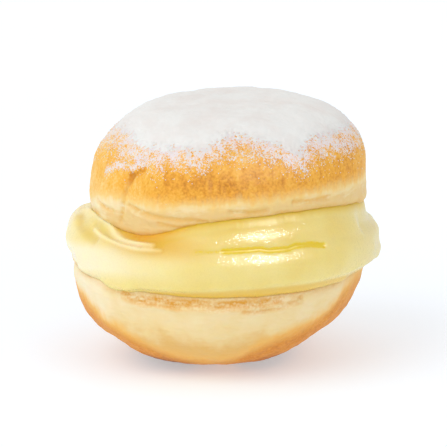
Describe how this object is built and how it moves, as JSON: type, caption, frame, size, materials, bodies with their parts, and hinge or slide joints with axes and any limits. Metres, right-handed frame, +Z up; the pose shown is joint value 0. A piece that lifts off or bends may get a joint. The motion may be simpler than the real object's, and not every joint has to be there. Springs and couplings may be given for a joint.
{
  "type": "custard filled doughnut",
  "caption": "Round fried doughnut split round its middle and filled with custard cream that bulges out all round, with powdered sugar on its domed top.",
  "frame": {"origin": "on the surface the doughnut stands on, in the middle of its width and depth", "axes": "+Z up through the domed top, -Y towards the side on which the dome's lip droops at the left and rises at the right, +X to the right seen from there, the widest way"},
  "size_m": [0.0912, 0.089, 0.0773],
  "materials": {
    "base_dough": "matte, pale fried dough browned at its edges",
    "custard": "smooth, moist and softly glossy",
    "crust_dough": "matte golden fried crust, pale along its lower edge",
    "powdered_sugar": "matt white powder"
  },
  "bodies": {
    "root": {"bun_bottom": "base_dough", "custard": "custard", "bun_top": "crust_dough"}
  },
  "joints": []
}
